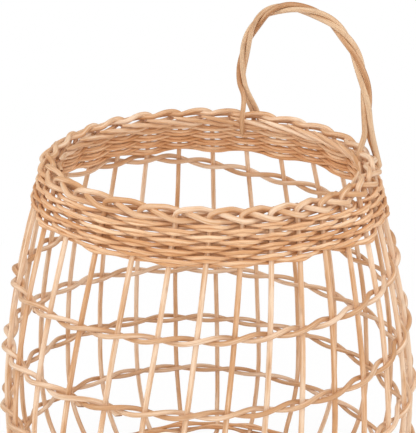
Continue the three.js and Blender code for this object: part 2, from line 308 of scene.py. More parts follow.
@dataclass(frozen=True)
class WillowGrain:
    """The grain of peeled willow, with scales in cells to a millimetre across and along the rod."""

    streak_scales: Triple = (0.9, 0.9, 0.028)
    streak_detail: float = 3.0
    streak_weight: float = 0.6
    streak_contrast: float = 3.4
    fibre_scales: Triple = (4.2, 4.2, 0.07)
    fibre_detail: float = 2.0
    fibre_weight: float = 0.4
    mottle_scales: Triple = (0.22, 0.22, 0.045)
    mottle_detail: float = 2.0
    mottle_contrast: float = 1.5
    speck_scales: Triple = (1.3, 1.3, 0.42)
    speck_detail: float = 1.0
    speck_limits: Pair = (0.7, 0.78)
    speck_stain: float = 0.35
    cut_stain: float = 0.85
    fibre_ridge: float = 0.7
    streak_ridge: float = 0.5
    ridge_strength: float = 0.5
    sheen_limits: Pair = (0.3, 0.7)
    sheen_swing: Pair = (0.08, -0.06)

    @functools.cache
    def pattern_group(self) -> bpy.types.NodeTree:
        """Builds the grain from the place on the straight rod, in millimetres.

        Returns:
            The group, which puts out streaks, mottling, specks and the height of the ridges.
        """
        outputs = {name: "NodeSocketFloat" for name in ("Streak", "Mottle", "Speck", "Height")}
        sheet, brings, takes = new_group("willow_grain", {"Rod": "NodeSocketVector"}, outputs)
        streak = sheet.noise(brings["Rod"], self.streak_scales, self.streak_detail)
        fibre = sheet.noise(brings["Rod"], self.fibre_scales, self.fibre_detail)
        mottle = sheet.noise(brings["Rod"], self.mottle_scales, self.mottle_detail)
        speck = sheet.noise(brings["Rod"], self.speck_scales, self.speck_detail)
        sheet.feed(takes["Streak"], sheet.weigh(streak, self.streak_weight, fibre, self.fibre_weight))
        sheet.feed(takes["Mottle"], mottle)
        sheet.feed(takes["Speck"], sheet.remap(speck, self.speck_limits))
        sheet.feed(takes["Height"], sheet.weigh(fibre, self.fibre_ridge, streak, self.streak_ridge))
        return sheet.tree

    @functools.cache
    def tint_group(self) -> bpy.types.NodeTree:
        """Builds the colour from the grain, the rod's tone and the marks of growth and knife.

        Returns:
            The group, which puts out the colour.
        """
        inputs = {name: "NodeSocketFloat" for name in ("Streak", "Mottle", "Speck", "Tone", "Bud", "Cut")}
        inputs |= {name: "NodeSocketColor" for name in ("Light", "Middle", "Dark", "Bark")}
        sheet, brings, takes = new_group("willow_tint", inputs, {"Colour": "NodeSocketColor"})
        streak = sheet.calc("SUBTRACT", brings["Streak"], 0.5)
        mottle = sheet.calc("SUBTRACT", brings["Mottle"], 0.5)
        grain = sheet.weigh(streak, self.streak_contrast, mottle, self.mottle_contrast)
        share = sheet.calc("ADD", grain, brings["Tone"])
        lower = sheet.blend(sheet.remap(share, (0.0, 0.5)), brings["Dark"], brings["Middle"])
        plain = sheet.blend(sheet.remap(share, (0.5, 1.0)), lower, brings["Light"])
        specks = sheet.calc("MULTIPLY", brings["Speck"], self.speck_stain)
        cuts = sheet.calc("MULTIPLY", brings["Cut"], self.cut_stain)
        marks = sheet.calc("MAXIMUM", sheet.calc("MAXIMUM", specks, brings["Bud"]), cuts)
        sheet.feed(takes["Colour"], sheet.blend(marks, plain, brings["Bark"]))
        return sheet.tree


@dataclass(frozen=True)
class WillowFinish:
    """Peeled willow of one tone: its colours, its sheen and its grain."""

    name: str
    slot: str
    light: Colour
    middle: Colour
    dark: Colour
    bark: Colour
    roughness: float
    grain_depth: float
    grain: WillowGrain = WillowGrain()

    @functools.cache
    def material(self) -> bpy.types.Material:
        """Builds the finish's material once.

        Returns:
            The material, the same one at every call.
        """
        material = bpy.data.materials.new(self.name)
        material.use_nodes = True
        sheet = NodeSheet(material.node_tree)
        rod = sheet.put("ShaderNodeAttribute", attribute_name=Rod.GRAIN_LAYER)
        marks = sheet.put("ShaderNodeAttribute", attribute_name=Rod.MARK_LAYER)
        split = sheet.put("ShaderNodeSeparateXYZ")
        sheet.feed(split.inputs[0], marks.outputs["Vector"])
        pattern = sheet.put("ShaderNodeGroup", node_tree=self.grain.pattern_group())
        sheet.feed(pattern.inputs["Rod"], rod.outputs["Vector"])
        tint = sheet.put("ShaderNodeGroup", node_tree=self.grain.tint_group())
        for name in ("Streak", "Mottle", "Speck"):
            sheet.feed(tint.inputs[name], pattern.outputs[name])
        for name, socket in zip(("Tone", "Bud", "Cut"), split.outputs):
            sheet.feed(tint.inputs[name], socket)
        for name in ("Light", "Middle", "Dark", "Bark"):
            sheet.feed(tint.inputs[name], getattr(self, name.lower()).linear())
        shader = sheet.put("ShaderNodeBsdfPrincipled")
        sheet.feed(shader.inputs["Base Color"], tint.outputs["Colour"])
        rough, smooth = (self.roughness + swing for swing in self.grain.sheen_swing)
        sheen = sheet.remap(pattern.outputs["Streak"], self.grain.sheen_limits, (rough, smooth))
        sheet.feed(shader.inputs["Roughness"], sheen)
        bump = sheet.put("ShaderNodeBump")
        sheet.feed(bump.inputs["Strength"], self.grain.ridge_strength)
        sheet.feed(bump.inputs["Distance"], self.grain_depth * MM)
        sheet.feed(bump.inputs["Height"], pattern.outputs["Height"])
        sheet.feed(shader.inputs["Normal"], bump.outputs["Normal"])
        output = sheet.put("ShaderNodeOutputMaterial")
        sheet.feed(output.inputs["Surface"], shader.outputs["BSDF"])
        return material


class Willow(Enum):
    """The willows that the basket is woven from, and a darker copy of the pale willow as painted shade
    for the loop.
    """

    BUFF = WillowFinish(
        "buff_stakes",
        "willow",
        light=Colour(236, 207, 178),
        middle=Colour(220, 178, 139),
        dark=Colour(202, 150, 103),
        bark=Colour(132, 78, 46),
        roughness=0.5,
        grain_depth=0.12,
    )
    WARM = WillowFinish(
        "warm_weavers",
        "willow",
        light=Colour(239, 204, 166),
        middle=Colour(223, 175, 131),
        dark=Colour(205, 147, 95),
        bark=Colour(132, 74, 40),
        roughness=0.5,
        grain_depth=0.12,
    )
    PALE = WillowFinish(
        "pale_pairing",
        "pale_willow",
        light=Colour(232, 202, 173),
        middle=Colour(214, 174, 137),
        dark=Colour(196, 147, 103),
        bark=Colour(136, 80, 46),
        roughness=0.48,
        grain_depth=0.1,
    )
    # Painted shade: the same pale willow as the pairing, with darker colours because the loop stands free
    # and takes light from every side.
    SHADED_ROPE = WillowFinish(
        "roped_loop_shaded",
        "pale_willow",
        light=Colour(220, 186, 150),
        middle=Colour(200, 156, 115),
        dark=Colour(180, 128, 84),
        bark=Colour(128, 74, 42),
        roughness=0.48,
        grain_depth=0.1,
    )
    STOUT = WillowFinish(
        "stout_sticks",
        "dark_willow",
        light=Colour(222, 176, 134),
        middle=Colour(205, 156, 112),
        dark=Colour(180, 128, 88),
        bark=Colour(112, 68, 40),
        roughness=0.55,
        grain_depth=0.14,
    )


@dataclass(frozen=True)
class Wall:
    """The side's outline from the foot over the belly to the neck, and the rim above it."""

    foot_height: float = 20.0
    foot_radius: float = 107.0
    foot_flare: float = 1.1
    belly_height: float = 114.0
    belly_radius: float = 138.5
    collar_top: float = 279.5
    neck_radius: float = 107.3
    neck_flare: float = -0.28
    rim_run: float = 37.07

    @staticmethod
    def cubic(start: float, end: float, start_slope: float, end_slope: float, share: float) -> float:
        """Follows a smooth curve between two values with a slope at each.

        Args:
            start: Value at the start.
            end: Value at the end.
            start_slope: Slope at the start, over the whole way.
            end_slope: Slope at the end, over the whole way.
            share: Share of the way.

        Returns:
            The value there.
        """
        rest = 1 - share
        swing = start_slope * share * rest * rest - end_slope * share * share * rest
        return start * (1 + 2 * share) * rest * rest + end * (3 - 2 * share) * share * share + swing

    def radius(self, height: float) -> float:
        """Works out the wall's radius at a height.

        Args:
            height: Height above the floor.

        Returns:
            Radius of the stakes' middle line.
        """
        if height < self.belly_height:
            rise = self.belly_height - self.foot_height
            share = (height - self.foot_height) / rise
            return self.cubic(self.foot_radius, self.belly_radius, self.foot_flare * rise, 0, share)
        rise = self.collar_top - self.belly_height
        if height > self.collar_top:
            lean = (self.neck_radius - self.radius(self.collar_top - self.rim_run)) / self.rim_run
            return self.neck_radius + lean * (height - self.collar_top)
        share = (height - self.belly_height) / rise
        return self.cubic(self.belly_radius, self.neck_radius, 0, self.neck_flare * rise, share)

    def slope(self, height: float) -> float:
        """Returns how fast the radius grows with the height."""
        half = self.rim_run / 2
        return (self.radius(height + half) - self.radius(height - half)) / self.rim_run

    def point(self, angle: float, height: float, out: float = 0.0, up: float = 0.0) -> Vector:
        """Finds a point on the wall or beside it.

        Args:
            angle: Angle round the basket.
            height: Height above the floor.
            out: Move outward along the wall's normal.
            up: Move upward along the wall's slope.

        Returns:
            The moved point.
        """
        slope = self.slope(height)
        unit = 1 / math.hypot(1, slope)
        radius = self.radius(height) + (out + up * slope) * unit
        return polar(angle, radius, height + (up - out * slope) * unit)

    def share(self, height: float) -> float:
        """Returns the share of the way from the foot to the collar's top."""
        return clamp((height - self.foot_height) / (self.collar_top - self.foot_height))


@dataclass(frozen=True)
class Settling:
    """How the finished basket sits: its rim is low on one side and pressed in on another."""

    low_side: float = math.radians(65)
    tilt: float = math.radians(1.5)
    tilted_height: float = Wall.collar_top
    dented_side: float = math.radians(203)
    dent_focus: int = 3
    dent_start: float = 235.0
    dent_run: float = 50.0
    dent_depth: float = 0.019
    dent_drop: float = 2.2

    def place(self, point: Vector) -> Vector:
        """Returns where a point of the even basket comes to lie.

        Args:
            point: Point of the even basket.

        Returns:
            The point in the settled basket.
        """
        reach = point.x * math.cos(self.low_side) + point.y * math.sin(self.low_side)
        facing = max(math.cos(math.atan2(point.y, point.x) - self.dented_side), 0.0) ** self.dent_focus
        dent = facing * smoothstep((point.z - self.dent_start) / self.dent_run)
        inward = 1 - self.dent_depth * dent
        lowering = math.tan(self.tilt) / self.tilted_height
        height = point.z * (1 - lowering * reach) - self.dent_drop * dent
        return Vector((point.x * inward, point.y * inward, height))


@dataclass(frozen=True)
class Drift:
    """A slow change along a rod: its wave length, and its own lane and level in the noise."""

    wave: float
    lane: float
    level: float

    def at(self, along: float, seed: int) -> Vector:
        """Returns the place in the noise for a place along a rod."""
        return Vector((along / self.wave, seed * self.lane, self.level))


@dataclass(frozen=True)
class Bud:
    """A bud scar: where it sits along and round the rod, how far it swells and how long it is."""

    along: float
    angle: float
    swell: float
    length: float = 2.0
    focus: int = 6
    reach: float = 2.2

    def is_near(self, along: float) -> bool:
        """Returns whether the bud shows at a place along the rod."""
        return abs(self.along - along) < self.reach * self.length

    def rise(self, along: float, angle: float) -> float:
        """Returns the bud's share of its full height at a place on the rod.

        Args:
            along: Place along the rod.
            angle: Place round the rod.

        Returns:
            A share from 0 to 1.
        """
        run = (along - self.along) / self.length
        facing = max(math.cos(angle - self.angle), 0.0)
        return math.exp(-run * run) * facing**self.focus


@dataclass
class Rod:
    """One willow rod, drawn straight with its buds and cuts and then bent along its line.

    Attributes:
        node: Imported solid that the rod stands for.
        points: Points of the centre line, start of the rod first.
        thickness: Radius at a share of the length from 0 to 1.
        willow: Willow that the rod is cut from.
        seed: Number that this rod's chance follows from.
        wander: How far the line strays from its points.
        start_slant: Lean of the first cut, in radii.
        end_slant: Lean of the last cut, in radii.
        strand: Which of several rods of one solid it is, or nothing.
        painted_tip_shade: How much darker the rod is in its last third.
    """

    GRAIN_LAYER: ClassVar[str] = "rod"
    MARK_LAYER: ClassVar[str] = "marks"
    SETTLING: ClassVar[Settling] = Settling()
    SIDES: ClassVar[int] = 12
    STEP: ClassVar[float] = 2.0
    EDGE_RUN: ClassVar[float] = 0.3
    EDGE_SHRINK: ClassVar[float] = 0.86
    CUT_INSET: ClassVar[float] = 0.3
    CUT_RUN: ClassVar[float] = 2.5
    BUD_GAPS: ClassVar[Pair] = (24.0, 60.0)
    BUD_SWELLS: ClassVar[Pair] = (0.03, 0.1)
    BUD_TURN: ClassVar[float] = math.radians(144)
    BUD_STRAY: ClassVar[Pair] = (-0.5, 0.5)
    BUD_STAIN: ClassVar[float] = 0.3
    GRAIN_SHIFT: ClassVar[float] = 5000.0
    LINE_DRIFT: ClassVar[Drift] = Drift(38.0, 3.7, 0.5)
    RADIUS_DRIFT: ClassVar[Drift] = Drift(17.0, 1.9, 2.5)
    RADIUS_SWING: ClassVar[float] = 0.04
    TONE_DRIFT: ClassVar[Drift] = Drift(70.0, 2.3, 7.5)
    TONE_SWING: ClassVar[float] = 0.2
    MEAN_TONE: ClassVar[float] = 0.5
    TONE_SPREAD: ClassVar[float] = 0.19
    TIP_START: ClassVar[float] = 0.66
    TIP_RUN: ClassVar[float] = 0.1

    node: str
    points: list[Vector]
    thickness: Callable[[float], float]
    willow: Willow
    seed: int
    wander: float = 0.25
    start_slant: float = 0.9
    end_slant: float = 1.5
    strand: str = ""
    # Painted shade: darkens the colour of the rod's last third, which on a stake is the border at the top
    # of the basket, where the light is strongest.
    painted_tip_shade: float = 0.0

    def line(self) -> list[Vector]:
        """Works out the centre line in short steps, with its small strays and a tight step at each cut.

        Returns:
            Points of the line, one for each ring of the rod.
        """
        line = smooth_line(self.points, self.STEP)
        travelled = 0.0
        strayed = [line[0]]
        for before, after in zip(line, line[1:]):
            travelled += (after - before).length
            stray = noise.noise_vector(self.LINE_DRIFT.at(travelled, self.seed))
            strayed.append(after + stray * self.wander)
        for place, end, near in ((1, 0, 1), (-1, -1, -2)):
            run = strayed[near] - strayed[end]
            strayed.insert(place, strayed[end] + run * min(self.EDGE_RUN / run.length, 0.5))
        return strayed

    def buds(self, length: float) -> list[Bud]:
        """Places the rod's bud scars, which wind round it as they follow each other.

        Args:
            length: Length of the rod.

        Returns:
            The scars from the rod's start to its end.
        """
        chance = Random(self.seed)
        turn = chance.uniform(0, FULL_TURN)
        along = chance.uniform(*self.BUD_GAPS)
        found = []
        while along < length:
            found.append(Bud(along, turn, chance.uniform(*self.BUD_SWELLS)))
            along += chance.uniform(*self.BUD_GAPS)
            turn += self.BUD_TURN + chance.uniform(*self.BUD_STRAY)
        return found

    def straight(self, rings: int) -> bmesh.types.BMesh:
        """Makes a straight rod one unit long and one unit in radius, with flat cuts.

        Args:
            rings: Rings of corners along the rod.

        Returns:
            The rod's shape, upright and closed.
        """
        shape = bmesh.new()
        bmesh.ops.create_cone(
            shape, cap_ends=True, cap_tris=False, segments=self.SIDES, radius1=1.0, radius2=1.0, depth=1.0
        )
        lengthwise = [edge for edge in shape.edges if abs(edge.verts[0].co.z - edge.verts[1].co.z) > 0.5]
        bmesh.ops.subdivide_edges(shape, edges=lengthwise, cuts=rings - 2)
        cuts = [face for face in shape.faces if len(face.verts) == self.SIDES]
        bmesh.ops.inset_individual(shape, faces=cuts, thickness=self.CUT_INSET)
        for face in shape.faces:
            face.smooth = len({round(vert.co.z, 6) for vert in face.verts}) > 1
        return shape

    @staticmethod
    def frames(line: list[Vector]) -> list[tuple[Vector, Vector, Vector]]:
        """Follows the centre line without twist.

        Args:
            line: Points of the centre line.

        Returns:
            The way along and the two ways across, for each point.
        """
        last = len(line) - 1
        tangents = [(line[min(i + 1, last)] - line[max(i - 1, 0)]).normalized() for i in range(last + 1)]
        across = tangents[0].orthogonal()
        found = []
        for tangent in tangents:
            across = (across - tangent * across.dot(tangent)).normalized()
            found.append((tangent, across.copy(), tangent.cross(across)))
        return found

    def radii(self, reach: list[float]) -> list[float]:
        """Works out the radius of each ring, which shrinks at the cuts' edges.

        Args:
            reach: Distance of each ring from the rod's start.

        Returns:
            The radii in the same order.
        """
        found = []
        for along in reach:
            uneven = 1 + self.RADIUS_SWING * noise.noise(self.RADIUS_DRIFT.at(along, self.seed))
            found.append(self.thickness(along / reach[-1]) * uneven)
        found[0] *= self.EDGE_SHRINK
        found[-1] *= self.EDGE_SHRINK
        return found

    def tones(self, reach: list[float], own_tone: float) -> list[float]:
        """Works out the tone of each ring around the rod's own tone, with painted shade over the rod's
        last third.

        Args:
            reach: Distance of each ring from the rod's start.
            own_tone: Tone of the whole rod.

        Returns:
            The tones in the same order.
        """
        found = []
        for along in reach:
            # Painted shade on the last third of the rod.
            shade = self.painted_tip_shade * smoothstep((along / reach[-1] - self.TIP_START) / self.TIP_RUN)
            drift = self.TONE_SWING * noise.noise(self.TONE_DRIFT.at(along, self.seed))
            found.append(own_tone + drift - shade)
        return found

    def slide(self, side: float, distance: float, radius: float, slant: float) -> float:
        """Returns how far a point near a slanted cut slides along the rod.

        Args:
            side: Where the point lies across the rod, from -1 to 1.
            distance: Distance from the cut along the rod.
            radius: The rod's radius at the cut.
            slant: Lean of the cut, in radii.

        Returns:
            The slide in millimetres.
        """
        run = self.CUT_RUN * slant * radius
        return slant * radius * side * max(0.0, 1 - distance / run) if run else 0.0

    def bend(self, shape: bmesh.types.BMesh, line: list[Vector]) -> None:
        """Bends a straight rod along a line and writes its grain and marks.

        Args:
            shape: Straight rod from straight().
            line: Centre line with as many points as the rod has rings.
        """
        grain = shape.verts.layers.float_vector.new(self.GRAIN_LAYER)
        marks = shape.verts.layers.float_vector.new(self.MARK_LAYER)
        last = len(line) - 1
        reach = [0.0]
        for before, after in zip(line, line[1:]):
            reach.append(reach[-1] + (after - before).length)
        length = reach[-1]
        chance = Random(self.seed + 1)
        tones = self.tones(reach, chance.gauss(self.MEAN_TONE, self.TONE_SPREAD))
        shift = chance.uniform(0, self.GRAIN_SHIFT)
        radii = self.radii(reach)
        frames = self.frames(line)
        buds = self.buds(length)
        near = [[bud for bud in buds if bud.is_near(along)] for along in reach]
        for vert in shape.verts:
            ring = round((vert.co.z + 0.5) * last)
            x, y = vert.co.x, vert.co.y
            radius, along = radii[ring], reach[ring]
            rises = [bud.rise(along, math.atan2(y, x)) for bud in near[ring]]
            swell = sum((rise * bud.swell for rise, bud in zip(rises, near[ring])), 1.0)
            slide = self.slide(x, along, radii[1], self.start_slant)
            slide -= self.slide(x, length - along, radii[-2], self.end_slant)
            ahead, side, over = frames[ring]
            place = line[ring] + (side * x + over * y) * (radius * swell) + ahead * slide
            stain = self.BUD_STAIN * max(rises, default=0.0)
            vert[grain] = Vector((x * radius, y * radius, along + shift))
            vert[marks] = Vector((tones[ring], stain, 1.0 if ring in (0, last) else 0.0))
            vert.co = self.SETTLING.place(place) * MM

    def draw(self) -> None:
        """Draws the rod as one closed piece in place of its solid."""
        line = self.line()
        shape = self.straight(len(line))
        self.bend(shape, line)
        finish = self.willow.value
        piece = make_piece(f"willow_{self.node}{self.strand}", shape, finish.material())
        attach(piece, "root")
        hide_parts(self.node)
        log.info("%s: %d faces", piece.name, len(piece.data.polygons))


@dataclass(frozen=True)
class BorderStep:
    """One step of a stake's way through the border: stakes along, passes outward, layers upward."""

    along: float
    out: float
    layer: float


@dataclass
class StakeRing:
    """The upright stakes, whose feet lie in the base and whose tops are rolled down into the border."""

    wall: Wall
    arms: int = 15
    count: int = 29
    seed: int = 100
    wander: float = 0.35
    butt_radius: float = 1.8
    rim_radius: float = 1.64
    border_radius: float = 1.84
    tip_radius: float = 1.6
    point_share: float = 0.03
    point_taper: float = 0.5
    # Painted shade on the border, darkening its colour where the top of the basket catches the most
    # light.
    painted_tip_shade: float = 0.14
    foot_start: float = 77.0
    foot_lead: float = 0.6
    foot_sag: float = 0.8
    base_edge: float = 100.7
    base_middle: float = 9.14
    seat: float = 4.3
    phase: float = math.radians(12.5)
    lean: float = math.radians(5.1)
    lean_swing: float = math.radians(8.8)
    leaning_side: float = math.radians(29.5)
    crowding: float = math.radians(6.4)
    crowded_side: float = math.radians(-11.2)
    bunching: float = math.radians(4.2)
    bunched_sides: float = math.radians(-41)
    wall_step: float = 12.0
    border_pass: float = 4.0
    border_layer: float = 3.48
    border_lift: float = 1.89
    border: tuple[BorderStep, ...] = (
        BorderStep(0, 0.05, 0.9),
        BorderStep(0.14, 0.1, 1.45),
        BorderStep(0.45, -0.1, 1.72),
        BorderStep(0.75, -0.7, 1.6),
        BorderStep(1, -1, 1.2),
        BorderStep(1.5, 0.3, 0.95),
        BorderStep(2, 1, 0.3),
        BorderStep(2.5, -0.3, -0.15),
        BorderStep(3, -1, -0.35),
        BorderStep(3.6, -1.8, -0.9),
        BorderStep(4.3, -2.1, -0.2),
        BorderStep(5.4, -2, 1),
    )

    def even_angle(self, index: float) -> float:
        """Returns the angle that a stake would have in an even ring."""
        return self.phase + FULL_TURN / self.count * index

    def lean_angle(self, even: float) -> float:
        """Returns how far a stake's foot lags behind its top."""
        return self.lean + self.lean_swing * math.cos(even - self.leaning_side)

    def angle(self, index: float, height: float) -> float:
        """Works out where a stake stands at a height.

        Args:
            index: Number of the stake, or a place between two stakes.
            height: Height above the floor.

        Returns:
            The angle round the basket.
        """
        share = self.wall.share(height)
        even = self.even_angle(index)
        crowd = self.crowding * math.sin(even - self.crowded_side)
        bunch = self.bunching * math.sin(2 * even - self.bunched_sides)
        return even - share * (crowd + bunch) - (1 - share) * self.lean_angle(even)

    def radius(self, height: float) -> float:
        """Returns a stake's radius at a height of the wall."""
        return lerp(self.butt_radius, self.rim_radius, self.wall.share(height))

    def arm_angle(self, arm: float) -> float:
        """Works out where an arm of the base lies, which leans with the stakes beside it.

        Args:
            arm: Number of the arm, or a place between two arms.

        Returns:
            The angle round the basket.
        """
        middle = (self.count - 1) / 2
        even = self.even_angle(middle) + FULL_TURN / self.arms * (arm - self.middle_arm())
        return even - self.lean_angle(even)

    def middle_arm(self) -> float:
        """Returns the place among the arms that faces the middle stake."""
        middle = (self.count - 1) // 2
        return middle // 2 + (0.25 if middle % 2 else -0.25)

    def border_point(self, index: int, step: BorderStep) -> Vector:
        """Finds where a stake is at one step of the border.

        Args:
            index: Number of the stake.
            step: Step of its way through the border.

        Returns:
            The point on the stake's centre line.
        """
        height = self.wall.collar_top + self.border_lift + self.border_layer * step.layer
        angle = self.angle(index + step.along, height)
        return polar(angle, self.wall.radius(height) + step.out * self.border_pass, height)

    def foot(self, index: int) -> list[Vector]:
        """Lays a stake's way out of the base, beside its arm, up to the wall.

        Args:
            index: Number of the stake.

        Returns:
            Points from the foot's end to just under the wall.
        """
        slot = self.arm_angle(index // 2)
        side = 1 if index % 2 else -1
        beside = polar(slot + side * math.pi / 2, self.seat, self.base_middle)
        inner, edge = (polar(slot, radius, 0) + beside for radius in (self.foot_start, self.base_edge))
        first = self.wall.point(self.angle(index, self.wall.foot_height), self.wall.foot_height)
        sagging = edge.lerp(first, 0.5) - UP * self.foot_sag
        return [inner, inner.lerp(edge, self.foot_lead), edge, sagging]

    def thickness(self, bend: float, share: float) -> float:
        """Returns a stake's radius: a slow taper up the wall and another one in the border.

        Args:
            bend: Share of the stake's length at which it bends over.
            share: Share of the stake's length.

        Returns:
            The radius there.
        """
        if share < bend:
            return lerp(self.butt_radius, self.rim_radius, share / bend)
        rolled = lerp(self.border_radius, self.tip_radius, (share - bend) / (1 - bend))
        widened = smoothstep((share - bend) / self.point_share)
        pointed = smoothstep((share - 1) / self.point_share + 1)
        return lerp(self.rim_radius, rolled, widened) * (1 - self.point_taper * pointed)

    def draw_stake(self, index: int) -> None:
        """Draws one stake from its foot to its tail inside the border.

        Args:
            index: Number of the stake, from 0.
        """
        wall = self.wall
        points = self.foot(index)
        steps = round((wall.collar_top - wall.foot_height) / self.wall_step)
        for k in range(steps + 1):
            height = lerp(wall.foot_height, wall.collar_top, k / steps)
            points.append(wall.point(self.angle(index, height), height))
        wall_end = len(points) - 1
        points += [self.border_point(index, step) for step in self.border]
        runs = [(after - before).length for before, after in zip(points, points[1:])]
        bend = sum(runs[:wall_end]) / sum(runs)
        Rod(
            f"stake_{index + 1:02d}",
            points,
            functools.partial(self.thickness, bend),
            Willow.BUFF,
            self.seed + index,
            wander=self.wander,
            painted_tip_shade=self.painted_tip_shade,
        ).draw()

    def draw(self) -> None:
        """Draws all stakes."""
        for index in range(self.count):
            self.draw_stake(index)


@dataclass
class Base:
    """The woven base: two crossed layers of sticks that fan out, and weavers that spiral outward."""

    stakes: StakeRing
    sticks: int = 8
    stick_seed: int = 10
    stick_radius: float = 2.3
    stick_spacing: float = 4.79
    stick_lift: float = 2.2
    edge: float = 97.0
    opening: float = 31.0
    weaver_seed: int = 30
    weaver_radius: float = 1.7
    row_pitch: float = 6.8
    rows: int = 9
    rods: int = 3
    pass_height: float = 4.1
    pass_half: float = 1.0
    standing_height: float = 7.05
    wander: float = 0.2

    def arm(self, index: int) -> list[Vector]:
        """Lays an arm from the cross outward.

        Args:
            index: Number of the arm.

        Returns:
            Three points in the middle of the base's thickness.
        """
        ring = self.stakes
        radii = (self.opening, lerp(self.opening, self.edge, 0.5), self.edge)
        return [polar(ring.arm_angle(index), radius, ring.base_middle) for radius in radii]

    def draw_stick(
        self, number: int, offset: float, upper: bool, start_arm: int, end_arm: int | None
    ) -> None:
        """Draws one stick of the cross.

        Args:
            number: Number of the stick.
            offset: Distance from the cross's middle line.
            upper: Whether it lies in the upper layer.
            start_arm: Arm that its far end becomes.
            end_arm: Arm that its near end becomes, or None where it is cut short.
        """
        ring = self.stakes
        half = self.sticks // 2
        first = ring.arm_angle((half - 1) / 2)
        second = ring.arm_angle(half + (half - 1) / 2) - math.pi / 2
        turn = (first + second) / 2
        reach = half / 2 * self.stick_spacing
        height = ring.base_middle + (self.stick_lift if upper else -self.stick_lift)
        lie = Vector((math.cos(turn), math.sin(turn), 0))
        side = Vector((-math.sin(turn), math.cos(turn), 0))
        across, ahead = (side, lie) if upper else (lie, side)
        points = [ahead * place + across * offset + UP * height for place in (-reach, 0, reach)]
        points += self.arm(start_arm)
        if end_arm is not None:
            points = self.arm(end_arm)[::-1] + points
        name = f"base_stick_{number}"
        seed = self.stick_seed + number
        Rod(name, points, taper(self.stick_radius), Willow.STOUT, seed, self.wander).draw()

    def draw_sticks(self) -> None:
        """Draws both layers of the cross."""
        half = self.sticks // 2
        for i in range(half):
            offset = self.stick_spacing * (i - (half - 1) / 2)
            self.draw_stick(i + 1, offset, True, i, None if i == 0 else 3 * half - 1 - i)
            self.draw_stick(half + i + 1, -offset, False, half + i, self.stakes.arms - 1 - i)

    def draw_weavers(self) -> None:
        """Draws the rods that wind outward, over one arm and under the next."""
        ring = self.stakes
        total = self.rows * ring.arms
        for rod, (start, end) in enumerate(split_evenly(total, self.rods)):
            points = []
            for i in range(start, end + 1):
                radius = self.opening + self.row_pitch * (0.5 + i / ring.arms)
                last_round = i > total - ring.arms
                rise = self.standing_height if last_round else self.pass_height
                height = ring.base_middle + (rise if i % 2 else -rise)
                beside_feet = radius > ring.foot_start - self.row_pitch
                half_turn = (ring.seat if beside_feet else self.pass_half) / radius
                turn = ring.arm_angle(i)
                points += [polar(turn + side, radius, height) for side in (-half_turn, half_turn)]
            name = f"base_weaver_{rod + 1}"
            seed = self.weaver_seed + rod
            Rod(name, points, taper(self.weaver_radius), Willow.BUFF, seed, self.wander).draw()

    def draw(self) -> None:
        """Draws the whole base."""
        self.draw_sticks()
        self.draw_weavers()


@dataclass
class Randing:
    """Rounds of weavers, each two thin rods worked as one in front of one stake and behind the next."""

    stakes: StakeRing
    name: str
    rods: int
    rows: int
    first_height: float
    rise: float
    seed: int
    strand_radius: float = 1.19
    strand_taper: Pair = (1.06, 0.94)
    spacing: float = 0.95
    least_spread: float = 0.4
    stray: float = 0.5
    stray_pace: float = 0.8
    stray_level: float = 1.5
    wander: float = 0.22
    sag: float = 1.0
    cuts: int = 4
    tail: float = 0.42
    tail_inset: float = 3.2
    tail_spread: float = 1.3
    tuck: float = 3.0

    def height(self, step: float) -> float:
        """Returns the height of the rounds after a number of stakes."""
        return self.first_height + self.rise * step / self.stakes.count

    def point(self, step: float, side: int) -> Vector:
        """Returns one strand's place after a number of stakes.

        Args:
            step: Stakes from the first round's start.
            side: 1 for the strand that lies upper at a stake, -1 for the lower one.

        Returns:
            The point on the strand's centre line.
        """
        ring = self.stakes
        height = self.height(step)
        swing = -math.cos(math.pi * step)
        apart = side * self.spacing * self.strand_radius
        out = swing * (ring.radius(height) + self.strand_radius) + apart * math.sqrt(1 - swing * swing)
        up = apart * max(abs(swing), self.least_spread)
        up += self.stray * noise.noise(Vector((step * self.stray_pace, self.seed, self.stray_level)))
        up -= self.sag * max(swing, 0) * clamp(1 - step / ring.count)
        return ring.wall.point(ring.angle(step, height), height, out, up)

    def end(self, step: float, side: int) -> Vector:
        """Finds where a strand's end rests inside the wall.

        Args:
            step: Stakes from the first round's start.
            side: 1 for the upper strand, -1 for the lower one.

        Returns:
            The last point of the strand's centre line.
        """
        ring = self.stakes
        height = self.height(step)
        inside = ring.radius(height) + self.tail_inset * self.strand_radius
        up = self.tail_spread * side * self.strand_radius + self.tuck * clamp(1 - step)
        return ring.wall.point(ring.angle(step, height), height, -inside, up)

    def draw(self) -> None:
        """Draws every strand of the rounds."""
        thickness = taper(self.strand_radius, *self.strand_taper)
        total = 2 * (self.rows * self.stakes.count // 2)
        for rod, (start, end) in enumerate(split_evenly(total, self.rods)):
            steps = [start + cut / self.cuts for cut in range(self.cuts * (end - start) + 1)]
            for side, strand in ((1, "_upper"), (-1, "_lower")):
                points = [self.end(start - self.tail, side)]
                points += [self.point(step, side) for step in steps]
                points.append(self.end(end + self.tail, side))
                name = f"{self.name}_{rod + 1}"
                seed = self.seed + 2 * rod + (side > 0)
                Rod(name, points, thickness, Willow.WARM, seed, self.wander, strand=strand).draw()


